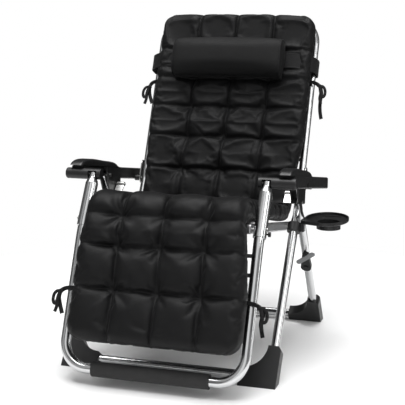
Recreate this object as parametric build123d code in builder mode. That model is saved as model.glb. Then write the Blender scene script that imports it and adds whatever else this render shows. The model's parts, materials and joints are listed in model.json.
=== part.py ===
"""Zero gravity recliner: tube frame, parallelogram recline, scissor base, tufted pads and a side tray.

Millimetres, +X to the sitter's left, -Y the way the sitter faces, +Z up. The origin is on the floor
on the plane of symmetry, under the armrest brackets.
"""
import os
from math import atan2, cos, hypot, pi, radians, sin, tan

from build123d import *

os.makedirs("parts", exist_ok=True)

# ---- driving dimensions -------------------------------------------------------------------------
RECLINE = 45                        # travel of the recline from upright, degrees
LEG_X = 326.5                       # plane of both base leg tubes
LEG_R, WALL = 14, 1.5               # base leg tube and the wall of every tube
FRONT_BAR = (-350, 21)              # floor bars, as (y, z)
REAR_BAR = (322, 21)
LEG_PIVOT = (-3, 498)               # where the front legs are pinned to the rear legs
UPPER_RIVET = (-46.2, 561.4)        # second fixing of the rear leg in the armrest bracket
FLAT_T, FLAT_W = 8, 30              # crushed tube end
FLAT_FROM, ROUND_FROM = 42, 76      # crush starts and ends, measured down the leg from the pivot

FRONT_HINGE = (-248, 598)           # leg rest to armrest
REAR_HINGE = (218, 512)             # back to armrest
LINK, LINK_ANGLE = 150, 31          # parallelogram's short side and its angle from vertical
BACK_ANGLE, REST_ANGLE = 24, 23.4   # back and leg rest from vertical
BACK_X, BACK_R = 287, 12.5
REST_X, REST_R = 284, 16
REST_BEND = 194                     # from the front hinge down to the bend of the leg rest tube
REST_LENGTH = 416                   # from the bend to the foot bar
BACK_TOP, BACK_CORNER = 614, 90     # top bar above the rear hinge, and the tube's corner radius
RAIL_X, RAIL_W, RAIL_H = 250, 18, 30

BEAM = (325, 367)                   # armrest beam, inner and outer face
BRACKET = (312, 341)                # armrest bracket, inner and outer face
BEAM_SLOPE, BEAM_TOP, BEAM_H = -0.165, 583, 40
BEAM_REAR = 298
ROLL_R, ROLL = 17.5, (257, 376)
TIP_R, SLOT_R = 13.4, 14.2
SLEEVE_R = 20                       # thicker sleeve on the upper end of the leg rest tube

PAD_LOW, PAD_T = 20, 58             # pads lie this far in front of the slings, and their thickness
PAD_X = {"back": 273, "seat": 250, "rest": 262}
FIT = 0.03                          # radial play of a pin in its hole
RUNNING = 0.06                      # the same where the piece turns on the pin

SIDES = (("left", -1), ("right", 1))


def link_end(pivot, turn=0):
    """Lower end of a parallelogram link that hangs from the pivot."""
    angle = radians(LINK_ANGLE + turn)
    return (pivot[0] - LINK * sin(angle), pivot[1] - LINK * cos(angle))


SEAT_FRONT = link_end(FRONT_HINGE)
SEAT_REAR = link_end(REAR_HINGE)
SEAT_SLOPE = atan2(SEAT_FRONT[1] - SEAT_REAR[1], SEAT_REAR[0] - SEAT_FRONT[0])
SEAT_LENGTH = hypot(SEAT_REAR[0] - SEAT_FRONT[0], SEAT_REAR[1] - SEAT_FRONT[1])
BEND_AT = (FRONT_HINGE[0] - REST_BEND * sin(radians(LINK_ANGLE)),
           FRONT_HINGE[1] - REST_BEND * cos(radians(LINK_ANGLE)))
FOOT_BAR = (BEND_AT[0] - REST_LENGTH * sin(radians(REST_ANGLE)),
            BEND_AT[1] - REST_LENGTH * cos(radians(REST_ANGLE)))


def leaning_plane(foot, lean):
    """Plane whose local Y climbs the part, leaning back by the angle, and whose normal faces front."""
    return Plane(origin=(0, foot[0], foot[1]), x_dir=(1, 0, 0), z_dir=(0, -cos(lean), sin(lean)))


def lean_of(low, high):
    return atan2(high[0] - low[0], high[1] - low[1])


FRONT_LEGS = leaning_plane(FRONT_BAR, lean_of(FRONT_BAR, LEG_PIVOT))
REAR_LEGS = leaning_plane(REAR_BAR, lean_of(REAR_BAR, LEG_PIVOT))
FRONT_LEG = hypot(LEG_PIVOT[0] - FRONT_BAR[0], LEG_PIVOT[1] - FRONT_BAR[1])
REAR_LEG = hypot(LEG_PIVOT[0] - REAR_BAR[0], LEG_PIVOT[1] - REAR_BAR[1])
RIVET_RISE = hypot(UPPER_RIVET[0] - LEG_PIVOT[0], UPPER_RIVET[1] - LEG_PIVOT[1])
BACK = leaning_plane(REAR_HINGE, radians(BACK_ANGLE))
REST = leaning_plane(BEND_AT, radians(REST_ANGLE))
SEAT = Plane(origin=(0, SEAT_FRONT[0], SEAT_FRONT[1]), x_dir=(1, 0, 0),
             z_dir=(0, sin(SEAT_SLOPE), cos(SEAT_SLOPE)))


def save(part, name):
    part.part.label = name
    export_step(part.part, f"parts/{name}.step")


def across(x, yz):
    """Plane that looks along X, with local X along Y and local Y up."""
    return Plane(origin=(x, yz[0], yz[1]), x_dir=(0, 1, 0), z_dir=(1, 0, 0))


def section_at(line, end):
    """Plane square to a path at its start (0) or its end (1)."""
    return Plane(origin=line @ end, z_dir=line % end)


def mirrored(part):
    """The same piece on the other side of the plane of symmetry."""
    with BuildPart() as other:
        add(mirror(part.part, about=Plane.YZ))
    return other


def pins(spans, radius, places, head=0, head_t=2.5):
    """Pins along X, on both sides of the object: spans in X, and their (y, z) places."""
    with BuildPart() as group:
        for side in (1, -1):
            for place in places:
                with BuildSketch(across(side * spans[0], place)):
                    Circle(radius)
                extrude(amount=side * (spans[1] - spans[0]))
                if head:
                    with BuildSketch(across(side * spans[0], place)):
                        Circle(head)
                    extrude(amount=-side * head_t)
                    with BuildSketch(across(side * spans[1], place)):
                        Circle(head)
                    extrude(amount=side * head_t)
    return group


# ---- base legs ----------------------------------------------------------------------------------
LEG_CORNER = 62


def leg_frame(plane, length, top, flat_offset, holes):
    """U tube that stands on the floor bar, with both upper ends crushed flat beside each other."""
    with BuildPart() as frame:
        round_top = length - ROUND_FROM
        with BuildLine(plane) as path:
            FilletPolyline((LEG_X, round_top), (LEG_X, 0), (-LEG_X, 0), (-LEG_X, round_top),
                           radius=LEG_CORNER)
        with BuildSketch(section_at(path.line, 0)):
            Circle(LEG_R)
            Circle(LEG_R - WALL, mode=Mode.SUBTRACT)
        sweep()
        for side in (1, -1):
            low = plane.from_local_coords(Vector(side * LEG_X, round_top, 0))
            high = plane.from_local_coords(Vector(side * (LEG_X + flat_offset), length - FLAT_FROM, 0))
            with BuildSketch(Plane(origin=low, x_dir=(1, 0, 0), z_dir=plane.y_dir)):
                Circle(LEG_R)
            with BuildSketch(Plane(origin=high, x_dir=(1, 0, 0), z_dir=plane.y_dir)):
                RectangleRounded(FLAT_T, FLAT_W, 3.4)
            loft()
            with BuildSketch(Plane(origin=high, x_dir=(1, 0, 0), z_dir=plane.y_dir)):
                RectangleRounded(FLAT_T, FLAT_W, 3.4)
            extrude(amount=top + FLAT_FROM - FLAT_W / 2)
            tip = plane.from_local_coords(Vector(side * (LEG_X + flat_offset), length + top - FLAT_W / 2, 0))
            with BuildSketch(across(tip.X - FLAT_T / 2, (tip.Y, tip.Z))):
                Circle(FLAT_W / 2)
            extrude(amount=FLAT_T)
            for place, radius in holes:
                with BuildSketch(across(side * LEG_X - 12, place)):
                    Circle(radius)
                extrude(amount=24, mode=Mode.SUBTRACT)
    return frame


FLAT_OFFSET = 4.7                   # the two crushed ends lie side by side
PIVOT_R, RIVET_R = 4, 3

front_leg_frame = leg_frame(FRONT_LEGS, FRONT_LEG, FLAT_W / 2, -FLAT_OFFSET,
                            [(LEG_PIVOT, PIVOT_R + RUNNING)])
rear_leg_frame = leg_frame(REAR_LEGS, REAR_LEG, RIVET_RISE + FLAT_W / 2, FLAT_OFFSET,
                           [(LEG_PIVOT, PIVOT_R + FIT), (UPPER_RIVET, RIVET_R + FIT)])
save(front_leg_frame, "front_leg_frame")
save(rear_leg_frame, "rear_leg_frame")


def foot(plane):
    """Plastic cover of a floor corner: square outside, hollowed in a quarter circle inside."""
    top, out, reach, thick, scoop = 95, LEG_X + 23, 118, 38, 75
    inner = LEG_X - 18
    with BuildPart() as cover:
        with BuildSketch(plane.offset(-thick / 2)):
            with BuildLine():
                Polyline((inner, top), (out - 8, top), (out, top - 12), (out, -60), (out - reach, -60),
                         (out - reach, top - scoop - 2), (inner - scoop, top - scoop))
                ThreePointArc((inner - scoop, top - scoop),
                              (inner - scoop + scoop * sin(radians(45)), top - scoop * cos(radians(45))),
                              (inner, top))
            make_face()
        extrude(amount=thick)
        with BuildLine(plane) as path:
            FilletPolyline((LEG_X, 160), (LEG_X, 0), (LEG_X - 200, 0), radius=LEG_CORNER)
        with BuildSketch(section_at(path.line, 0)):
            Circle(LEG_R + FIT)
        sweep(mode=Mode.SUBTRACT)
        split(bisect_by=Plane.XY, keep=Keep.TOP)
    return cover


for name, plane in (("front_foot", FRONT_LEGS), ("rear_foot", REAR_LEGS)):
    right_foot = foot(plane)
    save(mirrored(right_foot), f"{name}_left")
    save(right_foot, f"{name}_right")


# ---- armrests -----------------------------------------------------------------------------------
def beam_top(y):
    return BEAM_TOP + BEAM_SLOPE * y


SLOT = (317, 336)                   # between the bracket's cheeks
LEVER = (8, 524)                    # lock lever's pin
BEAM_FRONT = -231
HINGE_R = 5
LEVER_PIN_R = 3

with BuildPart() as arm_beam:
    with BuildSketch(Plane.YZ.offset(BEAM[0])):
        Polygon((BEAM_FRONT, beam_top(BEAM_FRONT)), (BEAM_REAR, beam_top(BEAM_REAR)),
                (BEAM_REAR, beam_top(BEAM_REAR) - BEAM_H), (BEAM_FRONT, beam_top(BEAM_FRONT) - BEAM_H),
                align=None)
    extrude(amount=BEAM[1] - BEAM[0])
    long_edges = arm_beam.edges().filter_by(lambda edge: edge.length > 400)
    fillet(long_edges, radius=6)
    with BuildSketch(Plane.YZ.offset(BRACKET[0])):
        Polygon((-72, beam_top(-72) - 2), (46, beam_top(46) - 2), (46, 545), (37, 486), (-45, 499),
                (-66, 545), align=None)
    extrude(amount=BRACKET[1] - BRACKET[0])
    with BuildSketch(Plane.YZ.offset(SLOT[0])):
        Polygon((-80, 582), (60, 582), (60, 470), (-80, 470), align=None)
    extrude(amount=SLOT[1] - SLOT[0], mode=Mode.SUBTRACT)
    for place, radius, deep in ((LEG_PIVOT, PIVOT_R, BRACKET[1]), (UPPER_RIVET, RIVET_R, BRACKET[1]),
                                (LEVER, LEVER_PIN_R, SLOT[0])):
        with BuildSketch(across(BRACKET[0] - 5, place)):
            Circle(radius + FIT)
        extrude(amount=deep - BRACKET[0] + 7, mode=Mode.SUBTRACT)
    with BuildSketch(across(BEAM[0] - 5, REAR_HINGE)):
        Circle(HINGE_R + FIT)
    extrude(amount=25, mode=Mode.SUBTRACT)
    with BuildSketch(across(BEAM[0] - 20, FRONT_HINGE)):
        Circle(ROLL_R + FIT)
    extrude(amount=80, mode=Mode.SUBTRACT)
    for place, radius in ((UPPER_RIVET, 9), (LEG_PIVOT, 9)):
        with BuildSketch(across(BRACKET[1], place)):
            Circle(radius)
        extrude(amount=BEAM[1] - BRACKET[1] + 5, mode=Mode.SUBTRACT)

with BuildPart() as arm_roll:
    with BuildSketch(across(ROLL[0], FRONT_HINGE)):
        Circle(ROLL_R)
    extrude(amount=ROLL[1] - ROLL[0])
    fillet(arm_roll.edges().sort_by(Axis.X)[-1], radius=5)
    fillet(arm_roll.edges().sort_by(Axis.X)[0], radius=1.5)
    low, high = radians(LINK_ANGLE - 2), radians(LINK_ANGLE + RECLINE + 2)
    reach = 40
    with BuildSketch(across(REST_X - SLOT_R - 0.4, FRONT_HINGE)):
        Circle(SLOT_R)
        Polygon((0, 0), (SLOT_R * cos(low), -SLOT_R * sin(low)),
                (SLOT_R * cos(low) - reach * sin(low), -SLOT_R * sin(low) - reach * cos(low)),
                (-reach * 1.3 * sin((low + high) / 2), -reach * 1.3 * cos((low + high) / 2)),
                (-SLOT_R * cos(high) - reach * sin(high), SLOT_R * sin(high) - reach * cos(high)),
                (-SLOT_R * cos(high), SLOT_R * sin(high)), align=None)
    extrude(amount=2 * SLOT_R + 0.8, mode=Mode.SUBTRACT)
    with BuildSketch(across(ROLL[0] + 1, FRONT_HINGE)):
        Circle(PIVOT_R + FIT)
    extrude(amount=52, mode=Mode.SUBTRACT)

PAD_SPAN = (318, 363)
PAD_REAR = 92
SUNK = 16                           # the pad is rounded first, then cut off flat on the beam
with BuildPart() as arm_pad:
    with BuildSketch(Plane.YZ.offset(PAD_SPAN[0])):
        with BuildLine():
            top = Spline((-270, 612), (-196, 637), (-70, 614), (30, 590), (PAD_REAR, beam_top(PAD_REAR)),
                         tangents=((0.3, 1), (1, BEAM_SLOPE)))
            Polyline(top @ 1, (PAD_REAR, beam_top(PAD_REAR) - SUNK), (-270, 612 - SUNK), top @ 0)
        make_face()
    extrude(amount=PAD_SPAN[1] - PAD_SPAN[0])
    fillet(arm_pad.edges().filter_by(lambda edge: edge.length > 350 and edge.center().Z > 598), radius=9)
    with BuildSketch(Plane.YZ.offset(PAD_SPAN[0] - 5)):
        Polygon((BEAM_FRONT - 60, beam_top(BEAM_FRONT - 60)), (PAD_REAR + 10, beam_top(PAD_REAR + 10)),
                (PAD_REAR + 10, 400), (BEAM_FRONT - 60, 400), align=None)
    extrude(amount=80, mode=Mode.SUBTRACT)
    with BuildSketch(across(ROLL[0], FRONT_HINGE)):
        Circle(ROLL_R + FIT)
    extrude(amount=150, mode=Mode.SUBTRACT)

CAP_SPAN, CAP_H, CAP_OUT = (331, 361), 26, 20
with BuildPart() as arm_cap:
    cap_centre = beam_top(BEAM_REAR) - BEAM_H / 2
    with BuildSketch(Plane.YZ.offset(CAP_SPAN[0])):
        Polygon((BEAM_REAR, cap_centre + CAP_H / 2), (BEAM_REAR, cap_centre - CAP_H / 2),
                (BEAM_REAR + CAP_OUT, cap_centre - CAP_H / 2 - 2), (BEAM_REAR + CAP_OUT, cap_centre + CAP_H / 2 - 6),
                align=None)
    extrude(amount=CAP_SPAN[1] - CAP_SPAN[0])
    fillet(arm_cap.faces().sort_by(Axis.Y)[-1].edges(), radius=5)

LEVER_SPAN = (282.5, 309.1)
with BuildPart() as lock_lever:
    with BuildSketch(across(LEVER_SPAN[0], LEVER)):
        Circle(7)
        with Locations((-17, -14)):
            Rectangle(40, 4, rotation=40)
        Circle(LEVER_PIN_R + RUNNING, mode=Mode.SUBTRACT)
    extrude(amount=LEVER_SPAN[1] - LEVER_SPAN[0])

for piece, name in ((arm_beam, "arm_beam"), (arm_roll, "arm_roll"), (arm_pad, "arm_pad"),
                    (arm_cap, "arm_cap"), (lock_lever, "lock_lever")):
    save(mirrored(piece), f"{name}_left")
    save(piece, f"{name}_right")

save(pins((BRACKET[0] - 0.1, BRACKET[1] + 0.1), PIVOT_R, [LEG_PIVOT], head=7), "leg_pivots")
save(pins((BRACKET[0] - 0.1, BRACKET[1] + 0.1), RIVET_R, [UPPER_RIVET], head=6), "arm_rivets")
save(pins((ROLL[0] + 1.5, ROLL[0] + 52), PIVOT_R, [FRONT_HINGE]), "front_hinge_pins")
save(pins((LEVER_SPAN[0] - 2.6, SLOT[0] - 0.2), LEVER_PIN_R, [LEVER]), "lever_pins")
save(pins((BACK_X - BACK_R - 2, BEAM[0] + 19), HINGE_R, [REAR_HINGE]), "back_hinge_pins")

HINGE_PLATE = (300, 303)
with BuildPart() as back_hinge_spacers:
    for side in (1, -1):
        with BuildSketch(across(side * (HINGE_PLATE[1] + 0.4), REAR_HINGE)):
            Circle(10)
            Circle(HINGE_R + FIT, mode=Mode.SUBTRACT)
        extrude(amount=side * (BEAM[0] - HINGE_PLATE[1] - 0.6))
save(back_hinge_spacers, "back_hinge_spacers")

# ---- transport clip on the right rear leg -------------------------------------------------------
CLIP_RISE = 284
with BuildPart() as leg_clip:
    with BuildSketch(REAR_LEGS.offset(8)):
        with Locations((LEG_X, CLIP_RISE)):
            Circle(18)
        with Locations((LEG_X + 3, CLIP_RISE + 58)):
            Circle(11)
        make_hull()
    extrude(amount=15)
    with BuildSketch(REAR_LEGS.offset(23)):
        with Locations((LEG_X, CLIP_RISE)):
            Circle(9)
    extrude(amount=3)
    with BuildSketch(Plane(origin=REAR_LEGS.from_local_coords(Vector(LEG_X, 200, 0)), x_dir=(1, 0, 0),
                           z_dir=REAR_LEGS.y_dir)):
        Circle(LEG_R + FIT)
    extrude(amount=160, mode=Mode.SUBTRACT)
save(leg_clip, "leg_clip")

with BuildPart() as clip_band:
    with BuildSketch(REAR_LEGS.offset(23.05)):
        with Locations((LEG_X + 4, CLIP_RISE + 50)):
            SlotOverall(84, 17, rotation=40)
    extrude(amount=3.5)
save(clip_band, "clip_band")

# ---- side tray ----------------------------------------------------------------------------------
CLAMP_DOWN = 92                     # clamp's middle, measured down the front leg from the pivot
TRAY_PIN = (355, -44)
TRAY_Z, TRAY_T = 436, 11
TRAY_CENTRE, TRAY_R = (418, 22), (70, 96)
CUP = (430, -14)
CUP_R, CUP_WALL, CUP_DEEP = 36, 2.5, 17

with BuildPart() as tray_clamp:
    low = FRONT_LEGS.from_local_coords(Vector(LEG_X, FRONT_LEG - CLAMP_DOWN - 15, 0))
    clamp_plane = Plane(origin=low, x_dir=(1, 0, 0), z_dir=FRONT_LEGS.y_dir)
    with BuildSketch(clamp_plane):
        Circle(LEG_R + 7)
        with Locations((0, 20)):
            Rectangle(16, 24, mode=Mode.SUBTRACT)
    extrude(amount=30)
    with BuildSketch(Plane.XY.offset(TRAY_Z - 26)):
        with Locations((TRAY_PIN[0] - 9, TRAY_PIN[1])):
            Rectangle(22, 20)
    extrude(amount=24)
    with BuildSketch(clamp_plane.offset(-20)):
        Circle(LEG_R + FIT)
    extrude(amount=80, mode=Mode.SUBTRACT)
    with BuildSketch(Plane.XY.offset(TRAY_Z - 20)):
        with Locations(TRAY_PIN):
            Circle(3 + FIT)
    extrude(amount=40, mode=Mode.SUBTRACT)
save(tray_clamp, "tray_clamp")

with BuildPart() as tray_pin:
    with BuildSketch(Plane.XY.offset(TRAY_Z - 19.5)):
        with Locations(TRAY_PIN):
            Circle(3)
    extrude(amount=19.5 + TRAY_T + 1)
save(tray_pin, "tray_pin")

with BuildPart() as side_tray:
    with BuildSketch(Plane.XY.offset(TRAY_Z)):
        with Locations(TRAY_CENTRE):
            Ellipse(*TRAY_R)
        with Locations(TRAY_PIN):
            Circle(10)
        make_hull()
    extrude(amount=TRAY_T)
    fillet(side_tray.faces().sort_by(Axis.Z)[0].edges(), radius=3)
    with BuildSketch(Plane.XY.offset(TRAY_Z + 3)):
        with Locations(TRAY_CENTRE):
            Ellipse(TRAY_R[0] - 4, TRAY_R[1] - 4)
        with Locations((TRAY_PIN[0] + 24, TRAY_PIN[1] + 12)):
            Circle(12)
        make_hull()
    extrude(amount=TRAY_T, mode=Mode.SUBTRACT)
    with BuildSketch(Plane.XY.offset(TRAY_Z - CUP_DEEP)):
        with Locations(CUP):
            Circle(CUP_R + CUP_WALL)
    extrude(amount=CUP_DEEP + 6)
    with BuildSketch(Plane.XY.offset(TRAY_Z - CUP_DEEP + CUP_WALL)):
        with Locations(CUP):
            Circle(CUP_R)
    extrude(amount=60, mode=Mode.SUBTRACT)
    with BuildSketch(Plane.XY.offset(TRAY_Z + 1)):
        with Locations((TRAY_CENTRE[0] + 4, TRAY_CENTRE[1] + 62)):
            SlotOverall(66, 12)
    extrude(amount=20, mode=Mode.SUBTRACT)
    with BuildSketch(Plane.XY.offset(TRAY_Z - 1)):
        with Locations(TRAY_PIN):
            Circle(3 + RUNNING)
    extrude(amount=40, mode=Mode.SUBTRACT)
save(side_tray, "side_tray")


# ---- back ---------------------------------------------------------------------------------------
def hollow_tube(path, radius):
    with BuildSketch(section_at(path.line, 0)) as section:
        Circle(radius)
        Circle(radius - WALL, mode=Mode.SUBTRACT)
    sweep(section.sketch, path=path.line)


def cross_hole(x, place, radius, half=20):
    with BuildSketch(across(x - half, place)) as hole:
        Circle(radius)
    extrude(hole.sketch, amount=2 * half, mode=Mode.SUBTRACT)


def on_link(pivot, distance):
    """Point up (+) or down (-) the link's line from its pivot."""
    angle = radians(LINK_ANGLE)
    return (pivot[0] + distance * sin(angle), pivot[1] + distance * cos(angle))


def back_point(x, rise, out=0):
    return tuple(BACK.from_local_coords(Vector(x, rise, out)))


tube_end = on_link(SEAT_REAR, -16)
with BuildPart() as back_tube:
    with BuildLine() as path:
        FilletPolyline((BACK_X, *tube_end), back_point(BACK_X, 0), back_point(BACK_X, BACK_TOP),
                       back_point(-BACK_X, BACK_TOP), back_point(-BACK_X, 0), (-BACK_X, *tube_end),
                       radius=[120, BACK_CORNER, BACK_CORNER, 120])
    hollow_tube(path, BACK_R)
    for side in (1, -1):
        cross_hole(side * BACK_X, REAR_HINGE, HINGE_R + RUNNING)
        cross_hole(side * BACK_X, SEAT_REAR, PIVOT_R + RUNNING)
save(back_tube, "back_tube")

with BuildPart() as back_hinge_plates:
    for side in (1, -1):
        with BuildSketch(across(side * HINGE_PLATE[0], REAR_HINGE)):
            Circle(19)
            with Locations((17, 46)):
                Circle(17)
            make_hull()
            Circle(HINGE_R + RUNNING, mode=Mode.SUBTRACT)
        extrude(amount=side * (HINGE_PLATE[1] - HINGE_PLATE[0]))
save(back_hinge_plates, "back_hinge_plates")

with BuildPart() as back_tube_plugs:
    for side in (1, -1):
        with BuildSketch(Plane(origin=(side * BACK_X, *tube_end),
                               z_dir=(0, -sin(radians(LINK_ANGLE)), -cos(radians(LINK_ANGLE))))):
            Circle(BACK_R)
        extrude(amount=4)
save(back_tube_plugs, "back_tube_plugs")

SLING_T = 2.4
TAB_W, TAB_T, TAB_LAP = 12, 2, 16


def sling(plane, half_width, low, high):
    """Mesh panel that carries the padding."""
    with BuildPart() as panel:
        with BuildSketch(plane.offset(-SLING_T / 2)):
            with Locations((0, (low + high) / 2)):
                RectangleRounded(2 * half_width, high - low, 25)
        extrude(amount=SLING_T)
    return panel


def tabs(plane, edge, end, tube_x, tube_r, places):
    """Elastic tabs from behind the sling's edge to the inner side of the tubes."""
    with BuildPart() as group:
        with BuildSketch(plane.offset(-SLING_T / 2 - TAB_T)):
            with Locations([(side * (edge - TAB_LAP + end) / 2, place) for side in (1, -1) for place in places]):
                Rectangle(end - edge + TAB_LAP, TAB_W)
        extrude(amount=TAB_T)
        for side in (1, -1):
            low = plane.from_local_coords(Vector(side * tube_x, places[0] - 20, 0))
            with BuildSketch(Plane(origin=low, x_dir=(1, 0, 0), z_dir=plane.y_dir)):
                Circle(tube_r)
            extrude(amount=places[-1] - places[0] + 40, mode=Mode.SUBTRACT)
    return group


BACK_PLACES = (32, 95, 160, 235, 310, 385, 470)
REST_PLACES = (-270, -212, -154, -96, -38)
SEAT_PLACES = (60, 130, 275, 345)

save(sling(BACK, 240, -58, 575), "back_sling")
save(tabs(BACK, 240, BACK_X - BACK_R + 1, BACK_X, BACK_R, BACK_PLACES), "back_tabs")


def pad(plane, half_width, low, high, corner):
    with BuildPart() as cushion:
        with BuildSketch(plane.offset(PAD_LOW)):
            with Locations((0, (low + high) / 2)):
                RectangleRounded(2 * half_width, high - low, corner)
        extrude(amount=PAD_T)
    return cushion


save(pad(BACK, PAD_X["back"], -40, 626, 45), "back_cushion")

PILLOW = (200, 357, 497)
with BuildPart() as head_pillow:
    with BuildSketch(BACK.offset(PAD_LOW + PAD_T + 4)):
        with Locations((0, (PILLOW[1] + PILLOW[2]) / 2)):
            RectangleRounded(2 * PILLOW[0], PILLOW[2] - PILLOW[1], 30)
    extrude(amount=64)
    fillet(head_pillow.faces().sort_by(Axis((0, 0, 0), tuple(BACK.z_dir)))[-1].edges(), radius=24)
save(head_pillow, "head_pillow")

STRAP = (400, 455)
STRAP_PATH = ((PILLOW[0] + 2, PAD_LOW + PAD_T + 3), (276, PAD_LOW + PAD_T + 3), (306, 40), (306, -12),
              (294, -20))
with BuildPart() as pillow_strap:
    with BuildSketch(Plane(origin=BACK.from_local_coords(Vector(0, STRAP[0], 0)), x_dir=(1, 0, 0),
                           z_dir=BACK.y_dir)):
        with BuildLine():
            loop = STRAP_PATH + tuple((-x, out) for x, out in reversed(STRAP_PATH))
            Polyline(*[(x, -out) for x, out in loop])
            offset(amount=1.25, side=Side.BOTH)
        make_face()
    extrude(amount=STRAP[1] - STRAP[0])
save(pillow_strap, "pillow_strap")

# ---- seat ---------------------------------------------------------------------------------------
def seat_rise(y):
    """Distance along the seat's plane from its front hinge."""
    return (y - SEAT_FRONT[0]) / cos(SEAT_SLOPE)


RAIL = (-18, seat_rise(212))
with BuildPart() as seat_rail:
    with BuildSketch(Plane.YZ.offset(RAIL_X - RAIL_W / 2)):
        ends = [SEAT.from_local_coords(Vector(0, rise, height)) for rise, height in
                ((RAIL[0], -15), (RAIL[1], -15), (RAIL[1], 15), (RAIL[0], 15))]
        Polygon(*[(end.Y, end.Z) for end in ends], align=None)
    extrude(amount=RAIL_W)
    fillet(seat_rail.edges().filter_by(Axis.X), radius=9)
    fillet(seat_rail.edges().filter_by(lambda edge: edge.length > 400), radius=5)
    for place in (SEAT_FRONT, SEAT_REAR):
        cross_hole(RAIL_X, place, PIVOT_R + FIT)
    with BuildSketch(across(RAIL_X - 12, (-126, 411))):
        Circle(3 + FIT)
    extrude(amount=30, mode=Mode.SUBTRACT)
save(mirrored(seat_rail), "seat_rail_left")
save(seat_rail, "seat_rail_right")
save(pins((RAIL_X - RAIL_W / 2 - 0.1, RAIL_X + RAIL_W / 2 + 0.1), 3, [(-126, 411)], head=8, head_t=7), "rail_knobs")

with BuildPart() as seat_cross_bars:
    for rise in (20, RAIL[1] - 24):
        centre = SEAT.from_local_coords(Vector(0, rise, -9))
        with BuildSketch(Plane(origin=(RAIL_W / 2 - RAIL_X, centre.Y, centre.Z), x_dir=(0, 1, 0), z_dir=(1, 0, 0))):
            Circle(6.5)
            Circle(6.5 - WALL, mode=Mode.SUBTRACT)
        extrude(amount=2 * RAIL_X - RAIL_W)
save(seat_cross_bars, "seat_cross_bars")

save(pins((RAIL_X - RAIL_W / 2 - 0.1, REST_X + SLEEVE_R + 0.1), PIVOT_R, [SEAT_FRONT], head=7), "seat_front_pins")
save(pins((RAIL_X - RAIL_W / 2 - 0.1, BACK_X + BACK_R + 0.1), PIVOT_R, [SEAT_REAR], head=7), "seat_rear_pins")

save(sling(SEAT, RAIL_X - 36, seat_rise(-300), seat_rise(196)), "seat_sling")
save(tabs(SEAT, RAIL_X - 36, RAIL_X - RAIL_W / 2, RAIL_X + RAIL_W, RAIL_W, SEAT_PLACES), "seat_tabs")
save(pad(SEAT, PAD_X["seat"], 18, seat_rise(150), 20), "seat_cushion")

# ---- leg rest -----------------------------------------------------------------------------------

def rest_point(x, rise, out=0):
    return tuple(REST.from_local_coords(Vector(x, rise, out)))


neck = on_link(FRONT_HINGE, -30)
with BuildPart() as leg_rest_tube:
    with BuildLine() as path:
        FilletPolyline((REST_X, *neck), rest_point(REST_X, 0), rest_point(REST_X, -REST_LENGTH),
                       rest_point(-REST_X, -REST_LENGTH), rest_point(-REST_X, 0), (-REST_X, *neck),
                       radius=[200, 80, 80, 200])
    hollow_tube(path, REST_R)
    for side in (1, -1):
        tip = Plane(origin=(side * REST_X, *neck),
                    z_dir=(0, sin(radians(LINK_ANGLE)), cos(radians(LINK_ANGLE))))
        with BuildSketch(tip):
            Circle(REST_R)
        with BuildSketch(tip.offset(16)):
            Circle(TIP_R)
        loft()
        with BuildSketch(tip.offset(16)):
            Circle(TIP_R)
        extrude(amount=14)
        with Locations((side * REST_X, *FRONT_HINGE)):
            Sphere(TIP_R)
        cross_hole(side * REST_X, FRONT_HINGE, PIVOT_R + RUNNING)
        cross_hole(side * REST_X, SEAT_FRONT, PIVOT_R + RUNNING)
save(leg_rest_tube, "leg_rest_tube")

with BuildPart() as leg_rest_sleeves:
    for side in (1, -1):
        top = Plane(origin=(side * REST_X, *on_link(FRONT_HINGE, -22)),
                    z_dir=(0, -sin(radians(LINK_ANGLE)), -cos(radians(LINK_ANGLE))))
        with BuildSketch(top):
            Circle(REST_R + 1)
        with BuildSketch(top.offset(11)):
            Circle(SLEEVE_R)
        loft()
        with BuildSketch(top.offset(11)):
            Circle(SLEEVE_R)
        extrude(amount=143)
        with BuildSketch(top):
            Circle(REST_R + FIT)
        extrude(amount=160, mode=Mode.SUBTRACT)
        cross_hole(side * REST_X, SEAT_FRONT, PIVOT_R + RUNNING, 24)
save(leg_rest_sleeves, "leg_rest_sleeves")

FOAM = (184, 23)
with BuildPart() as foot_pad:
    with BuildSketch(Plane(origin=rest_point(-FOAM[0], -REST_LENGTH), x_dir=(0, 1, 0), z_dir=(1, 0, 0))):
        Circle(FOAM[1])
        Circle(REST_R + FIT, mode=Mode.SUBTRACT)
    extrude(amount=2 * FOAM[0])
    fillet(foot_pad.edges().sort_by(Axis.X)[:1] + foot_pad.edges().sort_by(Axis.X)[-1:], radius=2)
save(foot_pad, "foot_pad")

save(sling(REST, 225, -300, 30), "leg_sling")
save(tabs(REST, 225, REST_X - REST_R + 1, REST_X, REST_R, REST_PLACES), "leg_tabs")
save(pad(REST, PAD_X["rest"], -345, 68, 40), "leg_cushion")

# ---- tie ribbons, plain tubes of straight runs and arcs -----------------------------------------
TIE_R = 5.5
TIES = {                            # (across, up the plane, in front of it)
    "tie_leg_right": (REST, ((262, -180, 27), (304, -180, 27), (330, -205, 20), (320, -238, 22), (332, -276, 20))),
    "tie_leg_left": (REST, ((-262, -180, 27), (-304, -180, 27), (-322, -205, 20), (-312, -236, 20),
                            (-300, -261, 22))),
    "tie_back_right": (BACK, ((273, 372, 26), (309, 372, 26), (332, 345, 15), (325, 281, 15), (337, 240, 15))),
    "tie_back_left": (BACK, ((-273, 362, 26), (-306, 362, 26), (-315, 319, 15), (-293, 278, 20))),
}


def route(points):
    """Corner radii: 0.45 of the shorter run over the tangent of half the turn."""
    radii = []
    for before, corner, after in zip(points, points[1:], points[2:]):
        first, second = Vector(*corner) - Vector(*before), Vector(*after) - Vector(*corner)
        turn = radians(first.get_angle(second))
        radii.append(0.45 * min(first.length, second.length) / tan(turn / 2))
    return radii


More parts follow.
